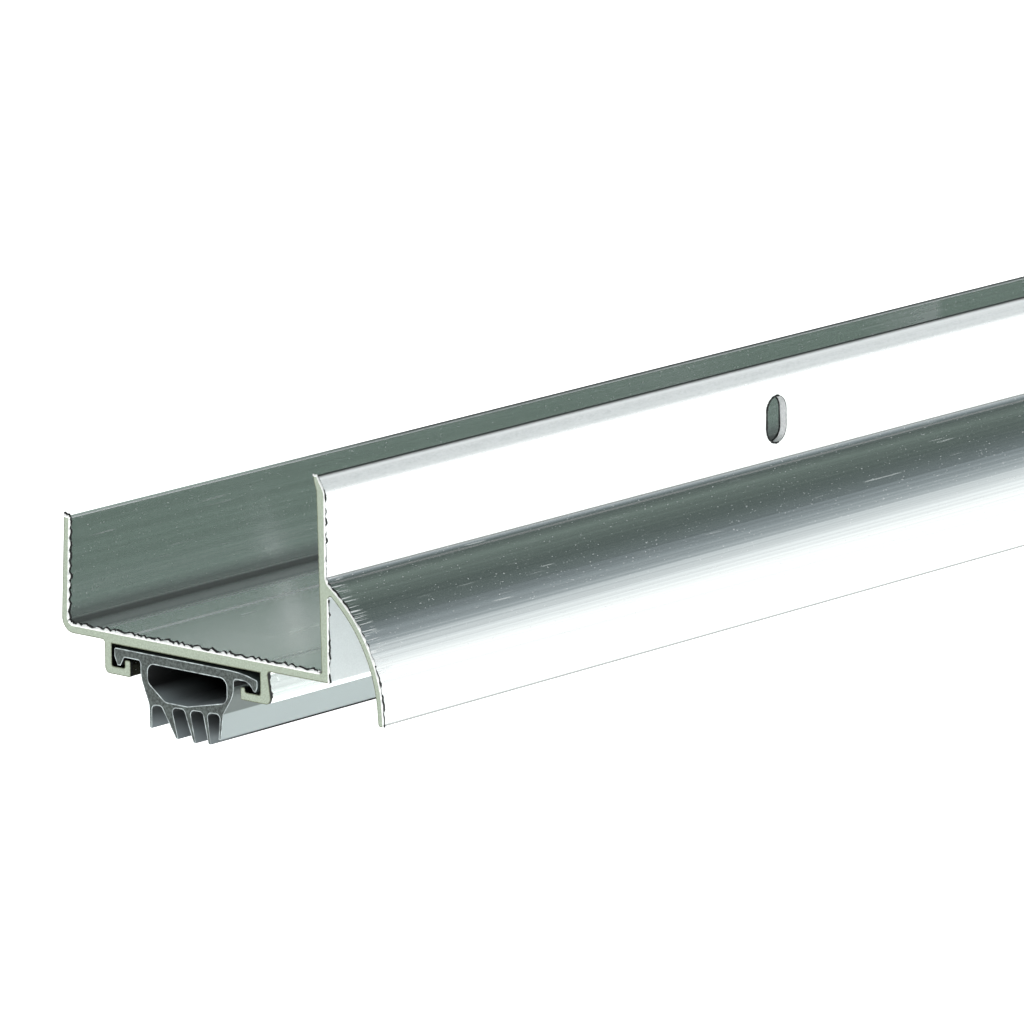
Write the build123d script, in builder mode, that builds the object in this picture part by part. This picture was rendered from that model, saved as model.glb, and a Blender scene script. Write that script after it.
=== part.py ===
from build123d import *
from math import radians, sqrt, tan
import os

# U-shaped door bottom: one aluminium extrusion that wraps the foot of a door, and a vinyl
# seal insert that slides into the slot beneath it.
# All sizes are in millimetres. The origin is on the seat where the door's foot rests, at
# mid-length and midway between the legs. +X runs along the door, -Y is the weather side with
# the drip cap, +Y is the room side and +Z is up.

# Stock length and the door that it fits
length = 914.4
door_thickness = 44.45
pocket_play = 2.23

# Base and legs of the channel
base_wall = 1.15
rear_wall = 1.15
rear_tip_wall = 1.0
rear_height = 15.15
rear_lean = 2.35
front_wall = 1.23
front_tip_wall = 1.4
front_height = 27.2
crease_step = 0.4
crease_height = 0.8

# Turned-in lip along the front leg's top
lip_height = 2.15
lip_set_in = 1.3
lip_tip_wall = 0.75
lip_bend = 2.0

# Drip cap that springs from the front leg
cap_crest = 12.5
cap_radius = 21.64
cap_reach = 9.5
cap_wall = 0.95
drip_lip_height = 4.05
drip_lip_level = -1.75
drip_lip_wall = 0.9
drip_lip_splay = 0.25

# Slot for the seal, between two hooks below the base
slot_width = 27.35
slot_depth = 3.2
slot_offset = 1.505
slot_ceiling_pad = 0.35
hook_wall = 1.27
hook_floor = 1.1
rear_hook_reach = 3.45
rear_hook_lip = 1.0
rear_hook_lip_height = 1.2
front_hook_reach = 3.6
front_hook_lip = 0.8
front_hook_lip_height = 0.65
front_hook_swell = 0.55

# Rounding of the extrusion
outer_bend = 2.1
inner_bend = 1.0
front_inner_round = 0.4
foot_round = 0.2
crotch_round = 0.5
hook_outer_round = 0.85
hook_root_round = 0.5
hook_inner_round = 0.3
hook_tip_round = 0.25
leg_tip_round = 0.25
lip_tip_round = 0.26
drip_tip_round = 0.43

# Screw slots through the front leg, upright so that the door bottom can be set for height
screw_slot_width = 4.35
screw_slot_height = 6.8
screw_slot_level = 19.1
first_screw_slot = 96.05
screw_slot_count = 4

# Seal insert: flange with a barb at the rear and a hooked tip at the front
insert_side_gap = 0.52
flange_gap = 0.5
floor_gap = 0.3
flange_wall = 1.15
flange_round = 0.3
flange_droop = 0.75
flange_droop_run = 5.0
flange_hook_run = 2.6
flange_hook_drop = 1.0
flange_hook_wall = 0.9
flange_hook_taper = 0.3
barb_width = 1.8
barb_wall = 0.55

# Hollow bulb under the flange
rear_neck_gap = 1.9
front_neck_gap = 1.25
bulb_depth = 7.1
bulb_shoulder = 3.45
bulb_shoulder_round = 4.0
bulb_rear_taper = 1.5
bulb_front_taper = 2.0
bulb_floor_rise = 0.6
bulb_wall = 1.3
bulb_roof = 1.35
bulb_floor_wall = 0.8
hollow_rear_run = 0.22
hollow_rear_rise = 2.35
hollow_front_run = 0.5
hollow_front_rise = 1.6
hollow_round = 1.2
neck_round = 0.5

# Five fins, from the rear to the front: place of the root as a share of the bulb's floor,
# thickness there, how far the tip leans (towards the front is negative) and depth
fin_places = (0.02, 0.235, 0.511, 0.754, 0.98)
fin_root_walls = (0.55, 1.9, 1.1, 0.85, 0.6)
fin_leans = (0.0, -1.9, -1.35, -0.8, 0.4)
fin_depths = (3.25, 4.2, 4.45, 4.35, 3.55)
fin_tip_wall = 0.42
fin_root_round = 0.65

# Faces that the sizes above fix
rear_inner = (door_thickness + pocket_play) / 2
front_inner = -rear_inner
rear_outer = rear_inner + rear_wall
front_face = front_inner - front_wall
upper_face = front_face + crease_step
underside = -base_wall
ceiling = underside - slot_ceiling_pad
slot_floor = ceiling - slot_depth
hook_bottom = slot_floor - hook_floor
slot_rear = slot_offset + slot_width / 2
slot_front = slot_offset - slot_width / 2


def round_nearest(outline, corner, radius):
    """Round the corner of the open sketch that lies nearest to a point."""
    fillet(outline.vertices().sort_by_distance(corner)[0], radius=radius)


def draw_hook(wall, side, reach, lip, lip_height, swell):
    """Draw one hook of the slot: a wall down from the base, a floor and an upturned lip."""
    outer = wall + side * hook_wall
    tip = wall - side * reach
    lip_back = tip + side * lip
    lip_top = slot_floor + lip_height
    with BuildLine() as hook:
        Polyline(
            (outer, underside / 2),
            (outer, underside),
            (outer + side * swell, slot_floor),
            (outer + side * swell, hook_bottom),
            (tip, hook_bottom),
            (tip, lip_top),
            (lip_back, lip_top),
            (lip_back, slot_floor),
            (wall, slot_floor),
            (wall, underside / 2),
            close=True,
        )
    make_face(hook.edges())


def round_hook(outline, wall, side, reach, lip, lip_height, swell):
    """Round the corners of a hook once it is part of the channel's section."""
    outer = wall + side * hook_wall
    tip = wall - side * reach
    lip_back = tip + side * lip
    lip_top = slot_floor + lip_height
    round_nearest(outline, (outer, underside), hook_root_round)
    round_nearest(outline, (outer + side * swell, hook_bottom), hook_outer_round)
    round_nearest(outline, (tip, hook_bottom), hook_tip_round)
    round_nearest(outline, (tip, lip_top), hook_tip_round)
    round_nearest(outline, (lip_back, lip_top), hook_tip_round)
    round_nearest(outline, (lip_back, slot_floor), hook_inner_round)
    round_nearest(outline, (wall, slot_floor), hook_inner_round)


rear_hook = (slot_rear, 1, rear_hook_reach, rear_hook_lip, rear_hook_lip_height, 0)
front_hook = (slot_front, -1, front_hook_reach, front_hook_lip, front_hook_lip_height, front_hook_swell)

rear_top = rear_inner - rear_height * tan(radians(rear_lean))
lip_foot = front_height - lip_height
lip_tip = upper_face + lip_set_in
cap_edge = front_face - cap_reach
drip_tip = cap_edge - drip_lip_splay
drip_end = drip_lip_level - drip_lip_height
screw_slot_pitch = (length - 2 * first_screw_slot) / (screw_slot_count - 1)

# Channel: one section drawn to length, then punched with its screw slots
with BuildPart() as channel:
    with BuildSketch(Plane.YZ) as section:
        # Base
        with Locations((0, underside / 2)):
            Rectangle(rear_inner - front_inner, base_wall)
        # Thicker strip over the slot
        with Locations((slot_offset, ceiling / 2)):
            Rectangle(slot_width + hook_wall, -ceiling)
        # Rear leg, thinner at its top and leaning over the seat
        with BuildLine():
            Polyline(
                (rear_outer, underside),
                (rear_top + rear_tip_wall, rear_height),
                (rear_top, rear_height),
                (rear_inner, 0),
                (rear_inner, underside),
                close=True,
            )
        make_face()
        # Front leg with its turned-in lip, and the narrow flat above the drip cap
        with BuildLine():
            Polyline(
                (lip_tip, front_height),
                (lip_tip + lip_tip_wall, front_height),
                (upper_face + front_tip_wall, lip_foot),
                (front_inner, 0),
                (front_inner, underside),
                (front_face, underside),
                (front_face, cap_crest),
                (upper_face, cap_crest + crease_height),
                (upper_face, lip_foot),
                close=True,
            )
        make_face()
        # Drip cap, an arc of even wall that ends in a thinner drip lip
        with BuildLine():
            cap_outer = RadiusArc((front_face, cap_crest), (cap_edge, drip_lip_level), -cap_radius)
            cap_centre = cap_outer.arc_center
            cap_inner_radius = cap_radius - cap_wall
            cap_root = cap_centre.Y + sqrt(cap_inner_radius**2 - (upper_face - cap_centre.X) ** 2)
            cap_back = cap_centre.X - sqrt(cap_inner_radius**2 - (drip_lip_level - cap_centre.Y) ** 2)
            Polyline(
                (cap_edge, drip_lip_level),
                (drip_tip, drip_end),
                (drip_tip + drip_lip_wall, drip_end),
                (cap_back, drip_lip_level),
            )
            RadiusArc((cap_back, drip_lip_level), (upper_face, cap_root), cap_inner_radius)
            Line((upper_face, cap_root), (front_face, cap_crest))
        make_face()
        draw_hook(*rear_hook)
        draw_hook(*front_hook)

        # Bends at the rear leg's root, and the small rounds that the die leaves
        round_nearest(section, (rear_outer, underside), outer_bend)
        round_nearest(section, (rear_inner, 0), inner_bend)
        round_nearest(section, (rear_top, rear_height), leg_tip_round)
        round_nearest(section, (rear_top + rear_tip_wall, rear_height), leg_tip_round)
        round_nearest(section, (front_inner, 0), front_inner_round)
        round_nearest(section, (front_face, underside), foot_round)
        round_nearest(section, (lip_tip, front_height), lip_tip_round)
        round_nearest(section, (lip_tip + lip_tip_wall, front_height), lip_tip_round)
        round_nearest(section, (upper_face, lip_foot), lip_bend)
        round_nearest(section, (upper_face + front_tip_wall, lip_foot), lip_height)
        crotch = cap_centre.Y + sqrt(cap_inner_radius**2 - (front_face - cap_centre.X) ** 2)
        round_nearest(section, (front_face, crotch), crotch_round)
        round_nearest(section, (drip_tip, drip_end), drip_tip_round)
        round_nearest(section, (drip_tip + drip_lip_wall, drip_end), drip_tip_round)
        round_hook(section, *rear_hook)
        round_hook(section, *front_hook)

    extrude(amount=length / 2, both=True)
    with BuildSketch(Plane.XZ.offset(-front_inner)):
        with Locations((0, screw_slot_level)):
            with GridLocations(screw_slot_pitch, 0, screw_slot_count, 1):
                SlotOverall(screw_slot_height, screw_slot_width, rotation=90)
    extrude(amount=2 * front_wall, both=True, mode=Mode.SUBTRACT)

# Levels and places of the seal insert, all taken from the slot that holds it
flange_top = ceiling - flange_gap
flange_under = flange_top - flange_wall
flange_rear = slot_rear - insert_side_gap
flange_front = slot_front + insert_side_gap
flange_low = slot_floor + floor_gap
flange_bend = flange_front + flange_droop_run
hook_start = flange_front + flange_hook_run
hook_inside = flange_front + flange_hook_wall
bulb_rear = slot_rear - rear_hook_reach - rear_neck_gap
bulb_front = slot_front + front_hook_reach + front_neck_gap
bulb_bottom = flange_top - bulb_depth
shoulder = flange_top - bulb_shoulder
floor_rear = bulb_rear - bulb_rear_taper
floor_front = bulb_front + bulb_front_taper
hollow_rear = bulb_rear - bulb_wall
hollow_front = bulb_front + bulb_wall
hollow_width = hollow_rear - hollow_front
hollow_top = flange_top - bulb_roof
hollow_floor = bulb_bottom + bulb_floor_wall


def bulb_floor_level(y):
    """Level of the bulb's underside, which rises a little towards the front."""
    return bulb_bottom + bulb_floor_rise * (floor_rear - y) / (floor_rear - floor_front)


# Seal insert: flange, bulb and fins in one section drawn to length, then the bulb's hollow
with BuildPart() as seal_insert:
    with BuildSketch(Plane.YZ) as profile:
        # Flange
        with BuildLine():
            Polyline(
                (flange_bend, flange_top),
                (flange_rear, flange_top),
                (flange_rear, (flange_top + flange_low) / 2),
                (flange_rear - barb_wall, flange_low),
                (flange_rear - 2 * barb_wall, flange_low),
                (flange_rear - barb_width, flange_under),
                (hook_start, flange_under),
            )
            TangentArc(
                (hook_start, flange_under),
                (hook_inside, flange_under - flange_hook_drop),
                tangent=(-1, 0),
            )
            Polyline(
                (hook_inside, flange_under - flange_hook_drop),
                (hook_inside - flange_hook_taper, flange_low),
                (flange_front + flange_hook_taper, flange_low),
                (flange_front, flange_under - flange_hook_drop / 2),
                (flange_front, flange_top - flange_droop),
            )
            TangentArc(
                (flange_bend, flange_top),
                (flange_front, flange_top - flange_droop),
                tangent=(-1, 0),
            )
        make_face()
        # Bulb
        with BuildLine():
            Polyline(
                (bulb_rear, flange_top - flange_wall / 2),
                (bulb_rear, shoulder),
                (floor_rear, bulb_floor_level(floor_rear)),
                (floor_front, bulb_floor_level(floor_front)),
                (bulb_front, shoulder),
                (bulb_front, flange_top - flange_wall / 2),
                close=True,
            )
        make_face()
        round_nearest(profile, (bulb_rear, shoulder), bulb_shoulder_round)
        round_nearest(profile, (bulb_front, shoulder), bulb_shoulder_round)
        round_nearest(profile, (bulb_rear, flange_under), neck_round)
        round_nearest(profile, (bulb_front, flange_under), neck_round)
        # Fins, with round arches between their roots
        root_corners = []
        for place, root_wall, lean, depth in zip(fin_places, fin_root_walls, fin_leans, fin_depths):
            root = floor_rear - place * (floor_rear - floor_front)
            rear_root = (root + root_wall / 2, bulb_floor_level(root + root_wall / 2))
            front_root = (root - root_wall / 2, bulb_floor_level(root - root_wall / 2))
            tip_level = bulb_floor_level(root) - depth
            with BuildLine():
                Polyline(
                    (rear_root[0], rear_root[1] + bulb_floor_wall / 2),
                    rear_root,
                    (root + lean + fin_tip_wall / 2, tip_level),
                    (root + lean - fin_tip_wall / 2, tip_level),
                    front_root,
                    (front_root[0], front_root[1] + bulb_floor_wall / 2),
                    close=True,
                )
            make_face()
            root_corners += [rear_root, front_root]
        for corner in root_corners[1:-1]:
            round_nearest(profile, corner, fin_root_round)
        # Soft ends of the flange
        round_nearest(profile, (flange_rear, flange_top), flange_round)
        round_nearest(profile, (flange_rear - barb_width, flange_under), flange_round)
        round_nearest(profile, (flange_front, flange_top - flange_droop), flange_round)
    extrude(amount=length / 2, both=True)
    with BuildSketch(Plane.YZ) as hollow:
        with BuildLine():
            Polyline(
                (hollow_rear, hollow_top),
                (hollow_front, hollow_top),
                (hollow_front, hollow_floor + hollow_front_rise),
                (hollow_front + hollow_front_run * hollow_width, hollow_floor),
                (hollow_rear - hollow_rear_run * hollow_width, hollow_floor),
                (hollow_rear, hollow_floor + hollow_rear_rise),
                close=True,
            )
        make_face()
        fillet(hollow.vertices(), radius=hollow_round)
    extrude(amount=length / 2, both=True, mode=Mode.SUBTRACT)

channel.part.label = "channel"
seal_insert.part.label = "seal_insert"
os.makedirs("parts", exist_ok=True)
export_step(channel.part, "parts/channel.step")
export_step(seal_insert.part, "parts/seal_insert.step")
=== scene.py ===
"""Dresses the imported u-shaped door bottom: a mill-finish aluminium extrusion with its saw-cut
ends and burrs, and the vinyl seal insert in the slot under it. Sizes are in metres, apart from
those that are said to be in mm. +X runs along the door, -Y is the weather side and +Z is up."""

import math
from random import Random

import bmesh
import bpy
from bpy.props import FloatProperty, FloatVectorProperty, IntProperty, PointerProperty
from mathutils import Euler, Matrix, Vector
from mathutils.bvhtree import BVHTree


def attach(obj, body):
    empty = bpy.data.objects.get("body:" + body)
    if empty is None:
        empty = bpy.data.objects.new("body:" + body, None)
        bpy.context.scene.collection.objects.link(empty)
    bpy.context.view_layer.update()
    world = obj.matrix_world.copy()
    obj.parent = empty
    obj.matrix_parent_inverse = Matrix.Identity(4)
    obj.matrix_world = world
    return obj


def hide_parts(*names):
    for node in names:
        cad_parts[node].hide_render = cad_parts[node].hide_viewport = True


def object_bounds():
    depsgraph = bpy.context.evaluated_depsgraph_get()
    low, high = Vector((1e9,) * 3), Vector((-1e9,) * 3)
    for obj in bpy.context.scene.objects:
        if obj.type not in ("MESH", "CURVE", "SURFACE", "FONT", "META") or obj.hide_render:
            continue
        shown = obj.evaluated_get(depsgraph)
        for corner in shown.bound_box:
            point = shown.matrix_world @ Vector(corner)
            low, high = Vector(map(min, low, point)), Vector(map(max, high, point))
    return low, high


bl_info = {
    "name": "U-shaped door bottom",
    "version": (1, 0, 0),
    "blender": (4, 5, 0),
    "location": "View3D > Sidebar > Door bottom",
    "description": "Builds the looks of an aluminium door bottom and its vinyl seal",
    "category": "Object",
}

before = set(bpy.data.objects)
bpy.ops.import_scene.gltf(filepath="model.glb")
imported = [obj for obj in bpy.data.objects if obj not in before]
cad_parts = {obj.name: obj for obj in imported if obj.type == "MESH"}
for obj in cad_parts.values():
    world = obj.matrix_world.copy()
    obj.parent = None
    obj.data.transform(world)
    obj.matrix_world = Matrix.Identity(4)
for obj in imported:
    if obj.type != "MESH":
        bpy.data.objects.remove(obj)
cad_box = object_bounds()

MM = 0.001
TURN = math.radians
UV_NAME = "along_the_length"
END_X = cad_box[1].x
FLOOR_Z = cad_box[0].z

# Cleaning of the CAD's mesh: how near points are merged, how flat an edge is dropped and how sharp an
# edge stays sharp. Then how squarely a face must look along an axis, and how near the end a cut lies
MERGE_GAP = 0.002 * MM
FLAT_ANGLE = TURN(0.2)
SHARP_ANGLE = TURN(24)
SQUARE_ON = 0.99
END_GAP = 0.1 * MM

# Places of the finishes in each piece's list. The channel and the insert hold the first two alike
CUT, CUT_RIM = 1, 2
# The finishes of the seal's slot and of the faces out of the light are painted shade
SHEARED, SLOT_SHADE, SHADED = 3, 4, 5
# The insert's inside finish is painted light and shade
INSIDE = 3
# The crest's finish is painted shade: a dark line along each burr and round the screw slots
TORN, SHADE_CREST = 0, 1

# All lengths from here to the light are in mm. First come soft lines that run along the metal: Y, Z,
# reach and strength. The pale ones are ghosts of the hooks' walls on the seat, and painted highlights
# along the rear leg's inner edge and the lip's top
PALE_AND_HIGHLIGHT_LINES = (
    (17.6, 0, 0.4, 0.35),
    (12.1, 0, 0.45, 1),
    (-13.1, 0, 0.4, 0.7),
    # Painted highlights: the rear leg's inner edge and the lip's top
    (22.8, 15.1, 0.2, 0.6),
    (-23.15, 26.75, 0.25, 1),
)
# The dark ones are painted shade: in the rear corner, on the lip's tip and on the drip lip's edge, and
# along the two edges of the crease above the drip cap
PAINTED_SHADE_LINES = (
    (20.4, 0, 3.4, 0.4),
    (22.9, 0.35, 0.85, 0.75),
    (19.2, 0, 0.5, 0.5),
    (-22.7, 27.25, 0.5, 0.95),
    (-34.25, -5.6, 0.3, 0.6),
    (-24.17, 13.3, 0.14, 0.6),
    (-24.57, 12.5, 0.14, 0.6),
)
# A dark line on the rear leg's top edge, as the lines above, and where along X it starts and is full
REAR_TOP = (23.4, 15.2, 0.75, 0.95)
REAR_TOP_DARK_SPAN = (-420, -385)
# The heights between which the lip's rough face starts. Its pale mottling is partly scuffs and partly
# painted highlight
LIP_SCUFF_AND_HIGHLIGHT = (24.8, 25.4)
# Painted highlights: pale streaks on the rear leg that stand in for reflections: where along X each
# starts, is brightest and ends, and its strength
PAINTED_HIGHLIGHT_STREAKS = ((-284, -265.5, -263.5, 1), (-350, -325, -310, 0.35))
# The Y at which the painted highlight streaks on the rear leg's inner face start and are full, and
# the same through the front leg's wall, from the pocket to the weather side
REAR_LEG_FACE = (22.5, 23.2)
FRONT_LEG_WALL = (-22, -24)

# Parts of the section: lowest and highest Y, then Z
SEAL_SLOT = (-12.4, 15.4, -5.7, -1.2)
BEHIND_CAP = (-34.5, -24.4, -7, 12.4)
# The centre of the drip cap's arc, and a radius that ends inside the cap's wall
CAP_CENTRE = (-12.7, -5.4)
CAP_BACK_RADIUS = 21.2
# The bends between the drip cap's facets, in degrees, a facet's least width, and the share of the
# narrowest facet that each bevel takes
CAP_BENDS = (3, 20)
CAP_FACET = 2
CAP_BEVEL = 0.48
# Past this Y, faces that look backwards are the rear leg's outer side
REAR_LEG_OUTSIDE = 23
# A screw slot's walls are no longer than this along X, and look across the leg by less than this share
SLOT_WALL = 10
SLOT_WALL_TILT = 0.3

# Where the saw leaves the metal, and how far an edge's outer side must look that way. Edges below
# this Z and behind this Y lie under the base, where there are no burrs
SAW_LEAVES = (0, -0.75, 0.66)
LEAVING_SHARE = 0.35
UNDER_BASE_Z = -1.4
UNDER_BASE_Y = -20
# Burrs behind this Y stand in the pocket, and the rest on the weather side
POCKET_EDGE = -23.5
# The chance at each point that the peaks' spacing and height change, their range, and the share of
# the height that the burrs on the weather side have
PEAK_CHANGE = 0.3
PEAK_PACE = (0.3, 2.2)
PEAK_SIZE = (0.35, 1)
WEATHER_SIDE_SIZE = 0.5
# The chance at each point that the crest's thickness changes, and its choices, as shares of the root
CREST_CHANGE = 0.35
POCKET_CREST = (0.6, 1.2, 1.5)
WEATHER_SIDE_CREST = (0.1, 0.2, 0.6, 1.2)
# The thin and the thick dark line of painted shade round a screw slot, their spread, and the X of a
# wall's normal below which the wall is the far one
SLOT_SHADE_LINES = (0.3, 1.1)
SLOT_SHADE_SPREAD = (0.7, 1.3)
SLOT_FAR_WALL = -0.2

# A dark line along the front fin's tip, as the lines above, and painted light and shade inside the
# insert at each share of the height from the fins' tips up: dark in the recesses, and lighter on the
# bulb's floor and towards the tips, where light reaches. Further in than this from the cut, all of
# it is painted black as shade
FRONT_FIN_DARK_TIP = (-4.7, -12.2, 0.3, 0.8)
INSIDE_HEIGHT = 10
INSIDE_TINT = "#A6B1B4"
INSIDE_PAINTED_SHADES = (
    (0, 0.5, INSIDE_TINT),
    (0.12, 0.45, INSIDE_TINT),
    (0.3, 0.1, INSIDE_TINT),
    (0.43, 0.03, INSIDE_TINT),
    (0.46, 0.9, INSIDE_TINT),
    (0.58, 0.6, INSIDE_TINT),
    (0.68, 0.02, INSIDE_TINT),
)
INSIDE_PAINTED_BLACK_DEPTH = 11
# How far a face inside the insert looks for the wall across from it
ACROSS_INSIDE = 16

# The light at each height above the horizon, as its sine, level and tint. The bank and the soft box
# each lie one way, and fade in between two cosines of the angle to it
LIGHT_BANK = (
    (0, 0.97, "#FFFFFF"),
    (0.26, 0.9, "#FDFEFF"),
    (0.33, 0.76, "#F8FCFF"),
    (0.37, 0.58, "#F4FBFF"),
    (0.41, 0.38, "#F0FAFF"),
    (0.46, 0.27, "#EAF7FF"),
    (0.51, 0.2, "#E4F6FF"),
    (0.55, 0.115, "#E0F5F8"),
    (0.59, 0.09, "#DCF6EE"),
    (0.64, 0.08, "#DCF6EE"),
    (1, 0.1, "#DCF6EE"),
)
GREY_ROOM = (
    (0, 0.35, "#DAF1E6"),
    (0.3, 0.29, "#DAF1E6"),
    (0.6, 0.21, "#DAF1E6"),
    (1, 0.13, "#DAF1E6"),
)
SOFT_BOX = (
    (0, 0.6, "#FBFDFF"),
    (1, 0.6, "#FBFDFF"),
)
BANK_WAY = (0.74, -0.67, 0)
BANK_EDGE = (0.56, 0.68)
SOFT_BOX_WAY = (-1, 0, 0)
SOFT_BOX_EDGE = (0.1, 0.5)


# Colours


def linear(hex_colour):
    """Turn an sRGB hex colour into the linear colour that shaders and lights take."""
    channels = [int(hex_colour[i : i + 2], 16) / 255 for i in (1, 3, 5)]
    return [c / 12.92 if c <= 0.04045 else ((c + 0.055) / 1.055) ** 2.4 for c in channels] + [1]


def colour_property(name, description, hex_colour):
    """A colour that the user can change, with its default given as sRGB hex."""
    return FloatVectorProperty(
        name=name,
        description=description,
        subtype="COLOR",
        size=4,
        min=0,
        max=1,
        default=linear(hex_colour),
    )


def length_property(name, description, millimetres):
    """A length that the user can change, with its default given in millimetres."""
    return FloatProperty(
        name=name,
        description=description,
        subtype="DISTANCE",
        unit="LENGTH",
        min=0,
        default=millimetres * MM,
    )


# Sizes and colours that a user would change


class ChannelLooks(bpy.types.PropertyGroup):
    """The aluminium extrusion's finish."""

    metal: colour_property("Metal", "Colour of the mill-finish skin", "#EBEFED")
    # Painted shade: a darker copy of the skin for the faces behind the drip cap and on the rear leg's
    # outer side
    shaded_metal: colour_property("Shaded metal", "Colour of the dull skin out of the light", "#D8DCDC")
    # Painted shade: the skin in the seal's slot, a recess under the base, is darkened for the shade
    # there
    slot_shade_metal: colour_property("Slot metal", "Colour of the grimy skin in the seal's slot", "#4C4A40")
    # This pale colour is for scuffs and specks, and also for the painted highlights on the rear leg, the
    # lip and the edges
    pale_and_highlight: colour_property("Scuffed metal", "Colour of scuffs, specks and linished edges", "#F4F6F7")
    # This dark colour darkens the die lines, and is also painted shade along the cuts, in corners and at
    # edges
    soil_and_shade: colour_property("Saw soil", "Colour of the oil and dust that the saw leaves", "#0C0E0E")
    cut_metal: colour_property("Cut metal", "Colour of the saw-cut ends", "#A2AB9C")
    cut_rim: colour_property("Cut rim", "Colour of the dull rim round each cut", "#6F7562")
    rim: length_property("Rim", "Width of the dull rim round each cut", 0.12)
    roughness: FloatProperty(
        name="Roughness",
        description="Roughness of the drawn skin",
        subtype="FACTOR",
        min=0,
        max=1,
        default=0.16,
    )
    line_pitch: length_property("Die line pitch", "Spacing of the lines that the die leaves", 0.35)
    line_depth: length_property("Die line depth", "Depth of the lines that the die leaves", 0.008)
    arc_segments: IntProperty(
        name="Arc segments",
        description="Faces in each bend between the drip cap's facets",
        min=1,
        default=4,
    )


class BurrLooks(bpy.types.PropertyGroup):
    """The burrs along the saw cuts with dark crest lines of painted shade, and the dark lines of painted
    shade round the screw slots.
    """

    metal: colour_property("Torn metal", "Colour of the torn metal", "#F2F3F1")
    # Painted shade: the dark line that outlines each burr's crest and each screw slot
    crest_shade: colour_property("Crest", "Colour of the burr's scorched crest", "#0A0C0C")
    height: length_property("Burr height", "How far a burr stands out at most", 0.5)
    root: length_property("Burr root", "Half the thickness of a burr at its lowest", 0.13)
    pitch: length_property("Burr pitch", "Usual spacing of the burr's peaks", 2)
    step: length_property("Burr step", "Spacing of the points that a burr follows", 0.25)
    seed: IntProperty(name="Seed", description="Start of the burrs' random shapes", min=0, default=7)


class SealLooks(bpy.types.PropertyGroup):
    """The vinyl insert's finish."""

    skin: colour_property("Skin", "Colour of the vinyl's skin on the outer fins", "#98A2A2")
    # Painted shade: the skin above the fins is darkened for the shade it lies in
    shaded_web: colour_property("Web", "Colour of the vinyl's skin above the fins", "#485350")
    cut: colour_property("Cut", "Colour of the cut vinyl", "#454C49")
    cut_edge: colour_property("Cut edge", "Colour of the bruised edge round the cut", "#A6AFAF")
    edge: length_property("Cut edge width", "Width of the bruised edge round the cut", 0.13)
    web_level: length_property("Web level", "How far the fins' roots lie below the seat", 8.4)


class StudioLooks(bpy.types.PropertyGroup):
    """The camera, the floor and the light."""

    camera_place: FloatVectorProperty(
        name="Camera place",
        description="Where the camera stands",
        subtype="TRANSLATION",
        default=(-1.47001, -0.92694, 0.32624),
    )
    camera_turn: FloatVectorProperty(
        name="Camera turn",
        description="How the camera is turned",
        subtype="EULER",
        default=(TURN(77.3697), TURN(0.4001), TURN(-49.4396)),
    )
    lens: FloatProperty(
        name="Lens",
        description="Focal length",
        subtype="DISTANCE_CAMERA",
        min=1,
        default=364.39,
    )
    floor_size: FloatProperty(
        name="Floor size",
        description="Side of the floor",
        subtype="DISTANCE",
        unit="LENGTH",
        default=60,
    )
    floor_colour: colour_property("Floor", "Colour of the floor", "#FFFFFF")
    floor_glow: FloatProperty(
        name="Floor glow",
        description="How brightly the floor is lit from below",
        min=0,
        default=1.25,
    )
    light: FloatProperty(
        name="Light",
        description="Strength of the light all round",
        min=0,
        default=1.5,
    )


# Meshes


def merged_copy(node):
    """A bmesh of a CAD node with its doubles merged and its flat faces made whole."""
    bm = bmesh.new()
    bm.from_mesh(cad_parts[node].data)
    bmesh.ops.remove_doubles(bm, verts=bm.verts, dist=MERGE_GAP)
    bmesh.ops.dissolve_limit(bm, angle_limit=FLAT_ANGLE, verts=bm.verts, edges=bm.edges)
    bm.normal_update()
    return bm


def end_faces(bm):
    """The flat faces at the two saw-cut ends."""
    return [
        f
        for f in bm.faces
        if abs(f.normal.x) > SQUARE_ON and abs(abs(f.calc_center_median().x) - END_X) < END_GAP
    ]


def finished_piece(bm, name, materials, body, replaced=None):
    """Turn a bmesh into a piece of the object, at the origin, on its body and with its slot."""
    mesh = bpy.data.meshes.new(name)
    bm.to_mesh(mesh)
    bm.free()
    for material in materials:
        mesh.materials.append(material)
    piece = bpy.data.objects.new(name, mesh)
    bpy.context.scene.collection.objects.link(piece)
    for face in mesh.polygons:
        face.use_smooth = True
    mesh.set_sharp_from_angle(angle=SHARP_ANGLE)
    weighted = piece.modifiers.new("Flat faces stay flat", "WEIGHTED_NORMAL")
    weighted.keep_sharp = True
    weighted.weight = 100
    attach(piece, body)
    if replaced:
        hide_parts(replaced)


# Materials


def add_node(tree, kind, settings=None, links=None):
    """Add a node with its settings, and links from other sockets to its inputs."""
    node = tree.nodes.new(kind)
    for key, value in (settings or {}).items():
        if key == "stops":
            ramp = node.color_ramp
            for _ in value[2:]:
                ramp.elements.new(1)
            for element, (position, level, tint) in zip(ramp.elements, value):
                element.position = position
                element.color = [level * c for c in linear(tint)[:3]] + [1]
        elif isinstance(key, str) and key.islower():
            setattr(node, key, value)
        else:
            node.inputs[key].default_value = value
    for key, socket in (links or {}).items():
        tree.links.new(socket, node.inputs[key])
    return node


def new_material(name, colour, roughness, metallic):
    """A material with its main shader, and the object's own coordinates."""
    material = bpy.data.materials.new(name)
    material.use_nodes = True
    tree = material.node_tree
    shader = tree.nodes["Principled BSDF"]
    shader.inputs["Base Color"].default_value = colour
    shader.inputs["Roughness"].default_value = roughness
    shader.inputs["Metallic"].default_value = metallic
    place = add_node(tree, "ShaderNodeTexCoord").outputs["Object"]
    return material, tree, shader, place


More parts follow.
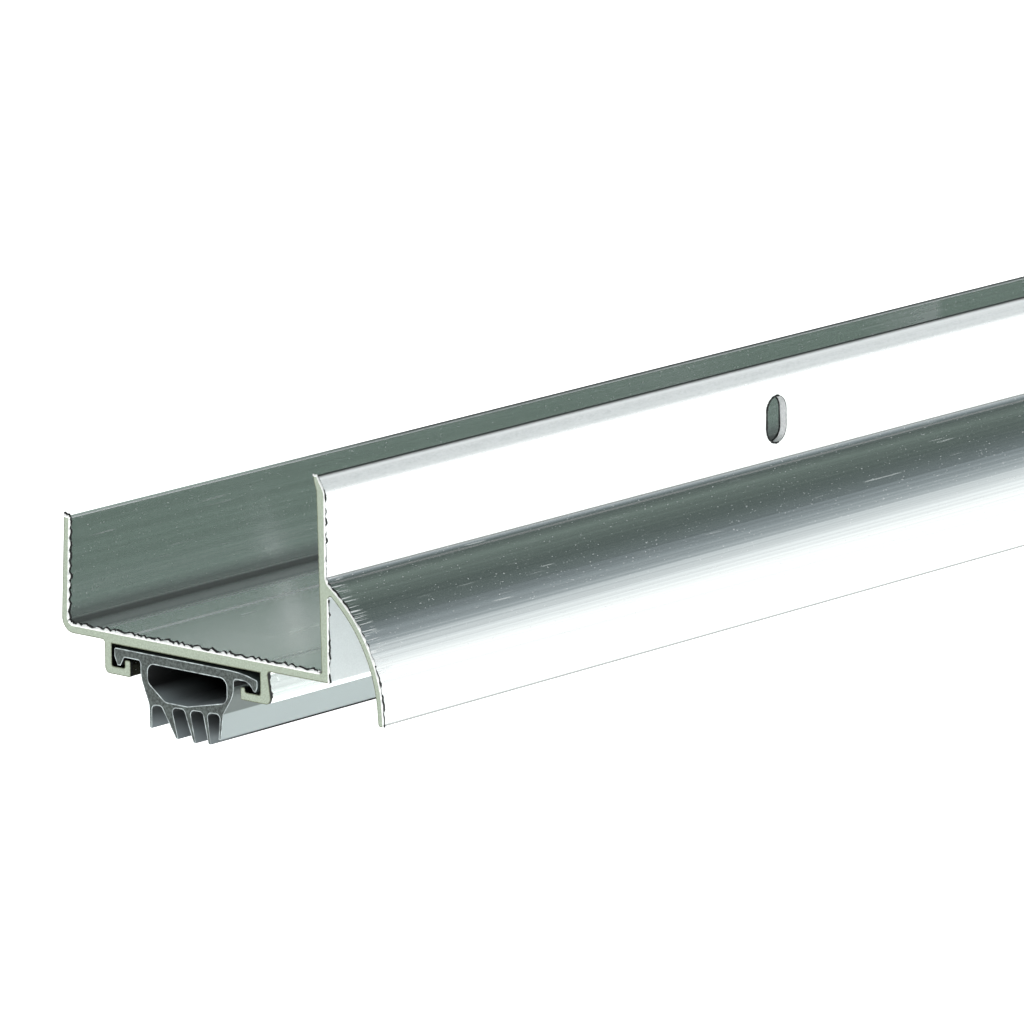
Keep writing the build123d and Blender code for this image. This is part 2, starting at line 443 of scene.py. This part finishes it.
def calculate(tree, operation, *values):
    """A math node on numbers and outputs."""
    fixed = {i: v for i, v in enumerate(values) if isinstance(v, (int, float))}
    linked = {i: v for i, v in enumerate(values) if i not in fixed}
    return add_node(tree, "ShaderNodeMath", {"operation": operation, **fixed}, linked).outputs[0]


def fade(tree, value, start, end, first=0.0, last=1.0):
    """Go from a first to a last strength while a value goes from start to end."""
    settings = {"From Min": start, "From Max": end, "To Min": first, "To Max": last}
    return add_node(tree, "ShaderNodeMapRange", settings, {"Value": value}).outputs[0]


def noise(tree, place, scale, detail=1):
    """Noise with its own scale along each axis."""
    stretched = add_node(tree, "ShaderNodeMapping", {"Scale": scale}, {"Vector": place}).outputs[0]
    settings = {"Scale": 1, "Detail": detail}
    return add_node(tree, "ShaderNodeTexNoise", settings, {"Vector": stretched}).outputs["Fac"]


def in_metres(millimetres):
    """Lengths in metres, from lengths in millimetres."""
    return [length * MM for length in millimetres]


def from_cut(tree, place):
    """How far each point lies from the nearer saw-cut end."""
    along = add_node(tree, "ShaderNodeSeparateXYZ", links={0: place}).outputs["X"]
    return calculate(tree, "SUBTRACT", END_X, calculate(tree, "ABSOLUTE", along))


def strongest(tree, masks):
    """The strongest of several masks at each point."""
    result = masks[0]
    for mask in masks[1:]:
        result = calculate(tree, "MAXIMUM", result, mask)
    return result


def lengthwise_lines(tree, place, lines):
    """A mask of soft lines that run along X at given places of the section."""
    split = add_node(tree, "ShaderNodeSeparateXYZ", links={0: place}).outputs
    section = add_node(tree, "ShaderNodeCombineXYZ", links={"Y": split["Y"], "Z": split["Z"]}).outputs[0]
    masks = []
    for y, z, reach, strength in lines:
        settings = {"operation": "DISTANCE", 1: (0, y * MM, z * MM)}
        gap = add_node(tree, "ShaderNodeVectorMath", settings, {0: section}).outputs["Value"]
        masks.append(fade(tree, gap, 0.4 * reach * MM, reach * MM, strength, 0))
    return strongest(tree, masks)


def mixed_colour(tree, share, first, second):
    """Mix two colours, each a colour or an output, by a share. The mix node keeps its colours in
    the inputs 6 and 7 and in the output 2."""
    parts = {6: first, 7: second}
    fixed = {i: c for i, c in parts.items() if not isinstance(c, bpy.types.NodeSocket)}
    linked = {i: c for i, c in parts.items() if i not in fixed}
    settings = {"data_type": "RGBA", **fixed}
    return add_node(tree, "ShaderNodeMix", settings, {0: share, **linked}).outputs[2]


def mill_aluminium(name, colour, looks):
    """Aluminium as it leaves the die: bright, sharp along its length and blurred across it by the fine
    lines that the die draws, with pale marks, painted highlights and painted shade on it."""
    material, tree, shader, place = new_material(name, colour, looks.roughness, 1)
    shader.inputs["Anisotropic"].default_value = 0.9
    shader.inputs["Anisotropic Rotation"].default_value = 0.25
    settings = {"direction_type": "UV_MAP", "uv_map": UV_NAME}
    tree.links.new(add_node(tree, "ShaderNodeTangent", settings).outputs[0], shader.inputs["Tangent"])
    lines = noise(tree, place, (4, 1 / looks.line_pitch, 1 / looks.line_pitch), 3)
    pale = pale_and_highlight_marks(tree, place, lines)
    dark = dark_marks_and_shade(tree, place)

    lined = mixed_colour(tree, fade(tree, lines, 0.35, 0.65, 0.14, 0), colour, looks.soil_and_shade)
    skin = mixed_colour(tree, pale, lined, looks.pale_and_highlight)
    tree.links.new(mixed_colour(tree, dark, skin, looks.soil_and_shade), shader.inputs["Base Color"])
    dull = calculate(tree, "MAXIMUM", pale, dark)
    tree.links.new(fade(tree, dull, 0, 1, 1, 0.15), shader.inputs["Metallic"])
    tree.links.new(fade(tree, dull, 0, 1, looks.roughness, 0.55), shader.inputs["Roughness"])
    bump = add_node(tree, "ShaderNodeBump", {"Distance": looks.line_depth}, {"Height": lines})
    tree.links.new(bump.outputs[0], shader.inputs["Normal"])
    return material


def pale_and_highlight_marks(tree, place, lines):
    """A mask of the pale marks and painted highlights: specks and short pick-up marks, scratches where
    the saw went through, painted highlight streaks, the lip's rough face, partly a painted highlight,
    and the pale lines along the metal, some ghosts and some painted highlights."""
    split = add_node(tree, "ShaderNodeSeparateXYZ", links={0: place}).outputs
    specks = fade(tree, noise(tree, place, (2400, 4200, 4200)), 0.69, 0.77, 0, 0.5)
    marks = fade(tree, noise(tree, place, (90, 2200, 2200)), 0.72, 0.78, 0, 0.3)
    scratches = fade(tree, noise(tree, place, (180, 4800, 4800)), 0.57, 0.63)
    weather_side = fade(tree, split["Y"], *in_metres(FRONT_LEG_WALL))
    near_cut = fade(tree, from_cut(tree, place), 0.5 * MM, 3.5 * MM, 1, 0)
    sawn = calculate(tree, "MULTIPLY", weather_side, near_cut)
    sawn = calculate(tree, "MULTIPLY", sawn, scratches)
    streaky = fade(tree, lines, 0.4, 0.55, 0.75, 1)
    highlight_streaks = calculate(tree, "MULTIPLY", painted_highlight_streaks(tree, split), streaky)
    mottled = fade(tree, noise(tree, place, (1600, 3800, 3800), 3), 0.3, 0.7, 0.35, 0.85)
    lip = calculate(tree, "MULTIPLY", mottled, fade(tree, split["Z"], *in_metres(LIP_SCUFF_AND_HIGHLIGHT)))
    return strongest(tree, [specks, marks, sawn, highlight_streaks, lip, lengthwise_lines(tree, place, PALE_AND_HIGHLIGHT_LINES)])


def painted_highlight_streaks(tree, split):
    """A mask of the painted highlight streaks on the rear leg's inner face, which stand in for
    reflections.
    """
    rear_leg = fade(tree, split["Y"], *in_metres(REAR_LEG_FACE))
    streaks = []
    for *places, strength in PAINTED_HIGHLIGHT_STREAKS:
        start, peak, end = in_metres(places)
        grows = fade(tree, split["X"], start, peak)
        falls = fade(tree, split["X"], peak, end, strength, 0)
        streaks.append(calculate(tree, "MULTIPLY", grows, falls))
    return calculate(tree, "MULTIPLY", rear_leg, strongest(tree, streaks))


def dark_marks_and_shade(tree, place):
    """A mask of the dark marks: painted shade in lines along the metal and in a ragged rim along each
    cut where the burr's root is shaded, widest on the seat and narrowest on the weather side, and a
    dark line on the rear leg's top edge."""
    split = add_node(tree, "ShaderNodeSeparateXYZ", links={0: place}).outputs
    ragged = fade(tree, noise(tree, place, (1100, 1100, 1100), 2), 0.3, 0.7, 0.25 * MM, 0.75 * MM)
    height = calculate(tree, "ABSOLUTE", split["Z"])
    rim = calculate(tree, "MULTIPLY", ragged, fade(tree, height, 0.2 * MM, 0.6 * MM, 2.4, 1))
    rim = calculate(tree, "MULTIPLY", rim, fade(tree, split["Y"], *in_metres(FRONT_LEG_WALL), 1, 0.45))
    # Painted shade: a dark ragged rim at each cut, where the burr's root is shaded
    at_cut = calculate(tree, "LESS_THAN", from_cut(tree, place), rim)
    top = fade(tree, split["X"], *in_metres(REAR_TOP_DARK_SPAN))
    top = calculate(tree, "MULTIPLY", top, lengthwise_lines(tree, place, (REAR_TOP,)))
    return strongest(tree, [at_cut, lengthwise_lines(tree, place, PAINTED_SHADE_LINES), top])


def grained(name, colour, roughness, metallic, speckle, size=0.22):
    """A material with an even grain of a size in mm, lighter and darker by a share of its colour."""
    material, tree, shader, place = new_material(name, colour, roughness, metallic)
    grain = noise(tree, place, [1 / (size * MM)] * 3, 3)
    darker = [c * (1 - speckle) for c in colour[:3]] + [1]
    lighter = [min(1, c * (1 + speckle)) for c in colour[:3]] + [1]
    uneven = mixed_colour(tree, fade(tree, grain, 0.35, 0.65), darker, lighter)
    tree.links.new(uneven, shader.inputs["Base Color"])
    bump = add_node(tree, "ShaderNodeBump", {"Strength": 0.4, "Distance": 0.05 * MM}, {"Height": grain})
    tree.links.new(bump.outputs[0], shader.inputs["Normal"])
    return material


def channel_metals(looks):
    """The extrusion's finishes: its skin, its saw cuts and their rims, the sheared walls of the screw
    slots, and two darker copies of the skin as painted shade, in the seal's slot and out of the light."""
    return [
        mill_aluminium("mill_finish_aluminium", looks.metal, looks),
        grained("saw_cut_aluminium", looks.cut_metal, 0.55, 0.85, 0.14),
        grained("saw_cut_rim", looks.cut_rim, 0.6, 0.6, 0.3),
        grained("sheared_aluminium", looks.pale_and_highlight, 0.5, 0.3, 0.15),
        mill_aluminium("slot_shaded_aluminium", looks.slot_shade_metal, looks),
        grained("shaded_aluminium", looks.shaded_metal, 0.5, 0.7, 0.03),
    ]


def vinyl_skin(looks):
    """Soft extruded vinyl: a low sheen with faint lines along its length. The skin is pale on the fins,
    darker above their roots as painted shade, with a dark line along the front fin's tip."""
    material, tree, shader, place = new_material("extruded_vinyl", looks.skin, 0.42, 0)
    height = add_node(tree, "ShaderNodeSeparateXYZ", links={0: place}).outputs["Z"]
    above = fade(tree, height, -looks.web_level - 0.1 * MM, -looks.web_level + 0.1 * MM)
    skin = mixed_colour(tree, above, looks.skin, looks.shaded_web)
    dark_tip = lengthwise_lines(tree, place, (FRONT_FIN_DARK_TIP,))
    # A dark line along the front fin's tip
    tree.links.new(mixed_colour(tree, dark_tip, skin, looks.cut), shader.inputs["Base Color"])
    lines = noise(tree, place, (5, 1600, 1600), 3)
    bump = add_node(tree, "ShaderNodeBump", {"Strength": 0.3, "Distance": 0.02 * MM}, {"Height": lines})
    tree.links.new(bump.outputs[0], shader.inputs["Normal"])
    return material


def inside_vinyl_painted_shade(looks):
    """Vinyl in the bulb and between the fins, with painted light and shade: nearly black further in,
    lighter on the bulb's floor near the cut, where light comes in, and paler towards the fins' tips,
    where light reaches from below."""
    material, tree, shader, place = new_material("inside_vinyl_painted_shade", looks.shaded_web, 0.75, 0)
    height = add_node(tree, "ShaderNodeSeparateXYZ", links={0: place}).outputs["Z"]
    level = fade(tree, height, FLOOR_Z, FLOOR_Z + INSIDE_HEIGHT * MM)
    shades = add_node(tree, "ShaderNodeValToRGB", {"stops": INSIDE_PAINTED_SHADES}, {0: level}).outputs[0]
    further_in = fade(tree, from_cut(tree, place), 0, INSIDE_PAINTED_BLACK_DEPTH * MM)
    tree.links.new(mixed_colour(tree, further_in, shades, (0, 0, 0, 1)), shader.inputs["Base Color"])
    return material


def seal_vinyls(looks):
    """The insert's finishes: its skin, the cut, the bruised edge round it, and the vinyl in the bulb and
    between the fins, with painted light and shade."""
    return [
        vinyl_skin(looks),
        grained("cut_vinyl", looks.cut, 0.7, 0, 0.5, 0.35),
        grained("bruised_vinyl", looks.cut_edge, 0.6, 0, 0.55, 1.2),
        inside_vinyl_painted_shade(looks),
    ]


def white_floor(looks):
    """A light table of white opal acrylic, lit from below, so that it shows no shadow."""
    material, tree, shader, _ = new_material("white_light_table", looks.floor_colour, 0.9, 0)
    shader.inputs["Specular IOR Level"].default_value = 0
    shader.inputs["Emission Color"].default_value = looks.floor_colour
    shader.inputs["Emission Strength"].default_value = looks.floor_glow
    return material


# Operators


class OBJECT_OT_channel_extrusion(bpy.types.Operator):
    """Build the aluminium extrusion, with a smooth drip cap and saw-cut ends."""

    bl_idname = "doorbottom.channel_extrusion"
    bl_label = "Aluminium extrusion"

    def execute(self, context):
        looks = context.scene.door_bottom_channel
        bm = merged_copy("channel")
        smooth_drip_cap(bm, looks.arc_segments)
        for finish, faces in (
            (SHEARED, slot_walls(bm)),
            # Faces in the seal's slot and out of the light get darker copies of the skin as painted
            # shade
            (SLOT_SHADE, seal_slot_faces(bm)),
            (SHADED, shaded_faces(bm)),
        ):
            for face in faces:
                face.material_index = finish
        edge_cuts(bm, looks.rim)
        map_along_length(bm)
        finished_piece(bm, "channel_extrusion", channel_metals(looks), "channel", "channel")
        return {"FINISHED"}


def slot_walls(bm):
    """The walls of the screw slots: short faces that run through the front leg."""
    ends = set(end_faces(bm))
    short = [f for f in bm.faces if face_length(f) < SLOT_WALL * MM and f not in ends]
    return [f for f in short if abs(f.normal.y) < SLOT_WALL_TILT]


def seal_slot_faces(bm):
    """The long faces inside the slot that holds the seal."""
    return [f for f in long_faces(bm) if in_box(f, SEAL_SLOT)]


def shaded_faces(bm):
    """The long faces out of the light: those behind the drip cap, and the rear leg's outer side."""
    centre, radius = Vector(CAP_CENTRE) * MM, CAP_BACK_RADIUS * MM
    shaded = []
    for face in long_faces(bm):
        middle = face.calc_center_median()
        behind_cap = in_box(face, BEHIND_CAP) and (middle.yz - centre).length < radius
        outside_rear_leg = face.normal.y > SQUARE_ON and middle.y > REAR_LEG_OUTSIDE * MM
        if behind_cap or outside_rear_leg:
            shaded.append(face)
    return shaded


def long_faces(bm):
    """The faces that run the whole length."""
    return [f for f in bm.faces if face_length(f) > END_X]


def face_length(face):
    """How far a face reaches along X."""
    places = [v.co.x for v in face.verts]
    return max(places) - min(places)


def in_box(face, box):
    """Whether a face's middle lies in a box of the section, which is given in mm."""
    _, y, z = face.calc_center_median() / MM
    return box[0] < y < box[1] and box[2] < z < box[3]


def edge_cuts(bm, width):
    """Give each cut its finish, and a narrow rim with its own."""
    ends = end_faces(bm)
    for face in ends:
        face.material_index = CUT
    rims = bmesh.ops.inset_region(bm, faces=ends, thickness=width, depth=0, use_even_offset=True)
    for face in rims["faces"]:
        face.material_index = CUT_RIM


def map_along_length(bm):
    """Unfold the metal so that U runs along its length. The sheen's direction follows it."""
    layer = bm.loops.layers.uv.new(UV_NAME)
    for face in bm.faces:
        across = Vector((0, face.normal.z, -face.normal.y))
        for loop in face.loops:
            loop[layer].uv = (loop.vert.co.x, loop.vert.co.dot(across))


def smooth_drip_cap(bm, segments):
    """Bevel the long edges between the drip cap's facets, so that its arc is smooth."""
    low, high = CAP_BENDS
    arc = []
    for edge in bm.edges:
        if len(edge.link_faces) != 2 or edge.calc_length() < END_X:
            continue
        widths = [f.calc_area() / edge.calc_length() for f in edge.link_faces]
        if TURN(low) < edge.calc_face_angle() < TURN(high) and min(widths) > CAP_FACET * MM:
            arc.append((edge, min(widths)))
    width = min(w for _, w in arc)
    bmesh.ops.bevel(
        bm,
        geom=[e for e, _ in arc],
        offset=CAP_BEVEL * width,
        offset_type="OFFSET",
        affect="EDGES",
        segments=segments,
        profile=0.5,
        material=-1,
        clamp_overlap=True,
    )
    bm.normal_update()


class OBJECT_OT_saw_burrs(bpy.types.Operator):
    """Build the ragged burrs along the edges that the saw leaves last, at both ends, each with a dark
    crest line of painted shade, and dark lines of painted shade round the punched screw slots."""

    bl_idname = "doorbottom.saw_burrs"
    bl_label = "Saw burrs"

    def execute(self, context):
        looks = context.scene.door_bottom_burrs
        draw = Random(looks.seed)
        outline = merged_copy("channel")
        smooth_drip_cap(outline, context.scene.door_bottom_channel.arc_segments)
        lines = bpy.data.curves.new("saw_burr_lines", "CURVE")
        lines.dimensions = "3D"
        lines.bevel_depth = looks.root
        lines.bevel_resolution = 1
        lines.use_fill_caps = True
        lines.materials.append(grained("torn_aluminium", looks.metal, 0.35, 0.6, 0.1))
        # The second finish is painted shade along the burrs' crests and round the screw slots
        lines.materials.append(grained("painted_shade_crest", looks.crest_shade, 0.7, 0, 0.2))
        for chain in burr_chains(outline):
            add_burr(lines, chain, looks, draw)
        for edge, thickness in sheared_edges(outline):
            radii = [thickness * draw.uniform(*SLOT_SHADE_SPREAD) for _ in edge.verts]
            add_line(lines, [v.co for v in edge.verts], radii, SHADE_CREST)
        outline.free()
        holder = bpy.data.objects.new("saw_burr_lines", lines)
        mesh = bpy.data.meshes.new_from_object(holder)
        bpy.data.objects.remove(holder)
        bm = bmesh.new()
        bm.from_mesh(mesh)
        bmesh.ops.recalc_face_normals(bm, faces=bm.faces)
        finished_piece(bm, "saw_burrs", list(lines.materials), "channel")
        return {"FINISHED"}


def burr_chains(bm):
    """Runs of edges round the cuts whose outer side faces up and to the front, where the saw
    leaves the metal."""
    leaving = Vector(SAW_LEAVES)
    found = []
    for face in end_faces(bm):
        run = []
        for loop in face.loops:
            outer = loop.link_loop_radial_next.face.normal
            middle = (loop.vert.co + loop.link_loop_next.vert.co) / 2
            under_base = middle.z < UNDER_BASE_Z * MM and middle.y > UNDER_BASE_Y * MM
            if outer.dot(leaving) > LEAVING_SHARE and not under_base:
                run.append((loop.vert.co.copy(), loop.link_loop_next.vert.co.copy(), outer.copy()))
            elif run:
                found.append(run)
                run = []
        if run:
            found.append(run)
    return found


def sheared_edges(bm):
    """The edges round the screw slots, with how thick the dark line of painted shade along each is, as a
    share of the root. It is thin on the weather side's edge that lies away from the near end."""
    thin, thick = SLOT_SHADE_LINES
    walls = set(slot_walls(bm))
    found = []
    for edge in bm.edges:
        wall = walls.intersection(edge.link_faces)
        if len(wall) == 1:
            wall = wall.pop()
            in_front = edge.verts[0].co.y < wall.calc_center_median().y
            far_wall = wall.normal.x < SLOT_FAR_WALL
            found.append((edge, thin if in_front and far_wall else thick))
    return found


def add_burr(lines, chain, looks, draw):
    """Add a ragged bead of torn metal along a run of edges, and a thin dark line of painted shade along
    its crest. Its peaks are unevenly spaced and high, and both are heavier in the pocket between the
    legs."""
    points = []
    for start, end, outer in chain:
        steps = max(1, round((end - start).length / looks.step))
        points += [(start.lerp(end, i / steps), outer) for i in range(steps)]
    points.append((chain[-1][1], chain[-1][2]))
    in_pocket = points[0][0].y > POCKET_EDGE * MM
    share = 1 if in_pocket else WEATHER_SIDE_SIZE
    thicknesses = POCKET_CREST if in_pocket else WEATHER_SIDE_CREST
    bead, bead_radii, crest, crest_radii = [], [], [], []
    phase = draw.uniform(0, 2)
    pace, size, thickness = 1, 1, 1
    for place, outer in points:
        if draw.random() < PEAK_CHANGE:
            pace, size = draw.uniform(*PEAK_PACE), draw.uniform(*PEAK_SIZE)
        phase += 2 * looks.step / looks.pitch * pace
        rise = looks.height * abs(phase % 2 - 1) * size * share
        if draw.random() < CREST_CHANGE:
            thickness = draw.choice(thicknesses)
        outward = Vector((math.copysign(1, place.x), 0, 0))
        bead.append(place + outer * rise / 2)
        bead_radii.append(1 + 0.5 * rise / looks.root)
        # The crest is a dark line of painted shade that outlines the bead
        crest.append(place + outer * (rise + 1.1 * looks.root) - outward * 0.3 * looks.root)
        crest_radii.append(thickness)
    add_line(lines, bead, bead_radii, TORN)
    add_line(lines, crest, crest_radii, SHADE_CREST)


def add_line(lines, places, radii, finish):
    """Add a thin round line through some places, with its thickness at each and its finish."""
    spline = lines.splines.new("POLY")
    spline.material_index = finish
    spline.points.add(len(places) - 1)
    for point, place, radius in zip(spline.points, places, radii):
        point.co = (*place, 1)
        point.radius = radius


class OBJECT_OT_vinyl_insert(bpy.types.Operator):
    """Build the vinyl seal insert, with a pale bruised edge round each cut."""

    bl_idname = "doorbottom.vinyl_insert"
    bl_label = "Vinyl seal insert"

    def execute(self, context):
        looks = context.scene.door_bottom_seal
        bm = merged_copy("seal_insert")
        for face in inside_faces(bm):
            face.material_index = INSIDE
        edge_cuts(bm, looks.edge)
        finished_piece(bm, "vinyl_insert", seal_vinyls(looks), "seal", "seal_insert")
        return {"FINISHED"}


def inside_faces(bm):
    """The long faces that look at another face of the insert: those of its hollow and of the gaps
    between its fins."""
    tree = BVHTree.FromBMesh(bm)
    inside = []
    for face in long_faces(bm):
        start = face.calc_center_median() + face.normal * 0.01 * MM
        if tree.ray_cast(start, face.normal, ACROSS_INSIDE * MM)[0]:
            inside.append(face)
    return inside


class SCENE_OT_studio(bpy.types.Operator):
    """Set up the camera, the white floor and the soft light."""

    bl_idname = "doorbottom.studio"
    bl_label = "Studio"

    def execute(self, context):
        looks = context.scene.door_bottom_studio
        camera = bpy.data.objects.new("camera", bpy.data.cameras.new("camera"))
        camera.location = looks.camera_place
        camera.rotation_euler = Euler(looks.camera_turn)
        camera.data.lens = looks.lens
        camera.data.clip_start = 0.01
        camera.data.clip_end = 200
        context.scene.collection.objects.link(camera)
        context.scene.camera = camera
        context.scene.view_settings.view_transform = "Standard"

        bm = bmesh.new()
        bmesh.ops.create_grid(bm, x_segments=1, y_segments=1, size=looks.floor_size / 2)
        bmesh.ops.translate(bm, verts=bm.verts, vec=(0, 0, FLOOR_Z))
        mesh = bpy.data.meshes.new("floor")
        bm.to_mesh(mesh)
        bm.free()
        mesh.materials.append(white_floor(looks))
        floor = bpy.data.objects.new("floor", mesh)
        context.scene.collection.objects.link(floor)
        studio_light(context.scene, looks.light)
        return {"FINISHED"}


def studio_light(scene, strength):
    """A bright bank beyond the weather side that fades out upwards, a soft box at the near end,
    and grey all round."""
    world = bpy.data.worlds.new("studio")
    scene.world = world
    world.use_nodes = True
    tree = world.node_tree
    way = add_node(tree, "ShaderNodeTexCoord").outputs["Generated"]
    height = add_node(tree, "ShaderNodeSeparateXYZ", links={0: way}).outputs["Z"]
    bank, room, soft_box = (
        add_node(tree, "ShaderNodeValToRGB", {"stops": stops}, {0: height}).outputs[0]
        for stops in (LIGHT_BANK, GREY_ROOM, SOFT_BOX)
    )
    light = room
    sources = ((bank, BANK_WAY, BANK_EDGE), (soft_box, SOFT_BOX_WAY, SOFT_BOX_EDGE))
    for source, direction, edge in sources:
        settings = {"operation": "DOT_PRODUCT", 1: direction}
        towards = add_node(tree, "ShaderNodeVectorMath", settings, {0: way}).outputs["Value"]
        light = mixed_colour(tree, fade(tree, towards, *edge), light, source)
    tree.links.new(light, tree.nodes["Background"].inputs["Color"])
    tree.nodes["Background"].inputs["Strength"].default_value = strength


class VIEW3D_PT_door_bottom(bpy.types.Panel):
    """Lists the steps that build the door bottom's looks, with their sizes and colours."""

    bl_label = "Door bottom"
    bl_space_type = "VIEW_3D"
    bl_region_type = "UI"
    bl_category = "Door bottom"

    def draw(self, context):
        for looks_name, operators in STEPS:
            box = self.layout.box()
            looks = getattr(context.scene, looks_name)
            for key in looks.__annotations__:
                box.prop(looks, key)
            for operator in operators:
                box.operator(operator.bl_idname)


GROUPS = {
    "door_bottom_studio": StudioLooks,
    "door_bottom_channel": ChannelLooks,
    "door_bottom_burrs": BurrLooks,
    "door_bottom_seal": SealLooks,
}
STEPS = (
    ("door_bottom_studio", (SCENE_OT_studio,)),
    ("door_bottom_channel", (OBJECT_OT_channel_extrusion,)),
    ("door_bottom_burrs", (OBJECT_OT_saw_burrs,)),
    ("door_bottom_seal", (OBJECT_OT_vinyl_insert,)),
)


def register():
    """Register the property groups, the operators and the panel."""
    for name, group in GROUPS.items():
        bpy.utils.register_class(group)
        setattr(bpy.types.Scene, name, PointerProperty(type=group))
    for _, operators in STEPS:
        for operator in operators:
            bpy.utils.register_class(operator)
    bpy.utils.register_class(VIEW3D_PT_door_bottom)


def unregister():
    """Take the panel, the operators and the property groups away again."""
    bpy.utils.unregister_class(VIEW3D_PT_door_bottom)
    for _, operators in reversed(STEPS):
        for operator in operators:
            bpy.utils.unregister_class(operator)
    for name, group in reversed(GROUPS.items()):
        delattr(bpy.types.Scene, name)
        bpy.utils.unregister_class(group)


def main():
    """Build every piece and the studio."""
    register()
    bpy.ops.doorbottom.studio()
    bpy.ops.doorbottom.channel_extrusion()
    bpy.ops.doorbottom.saw_burrs()
    bpy.ops.doorbottom.vinyl_insert()


if __name__ == "__main__":
    main()
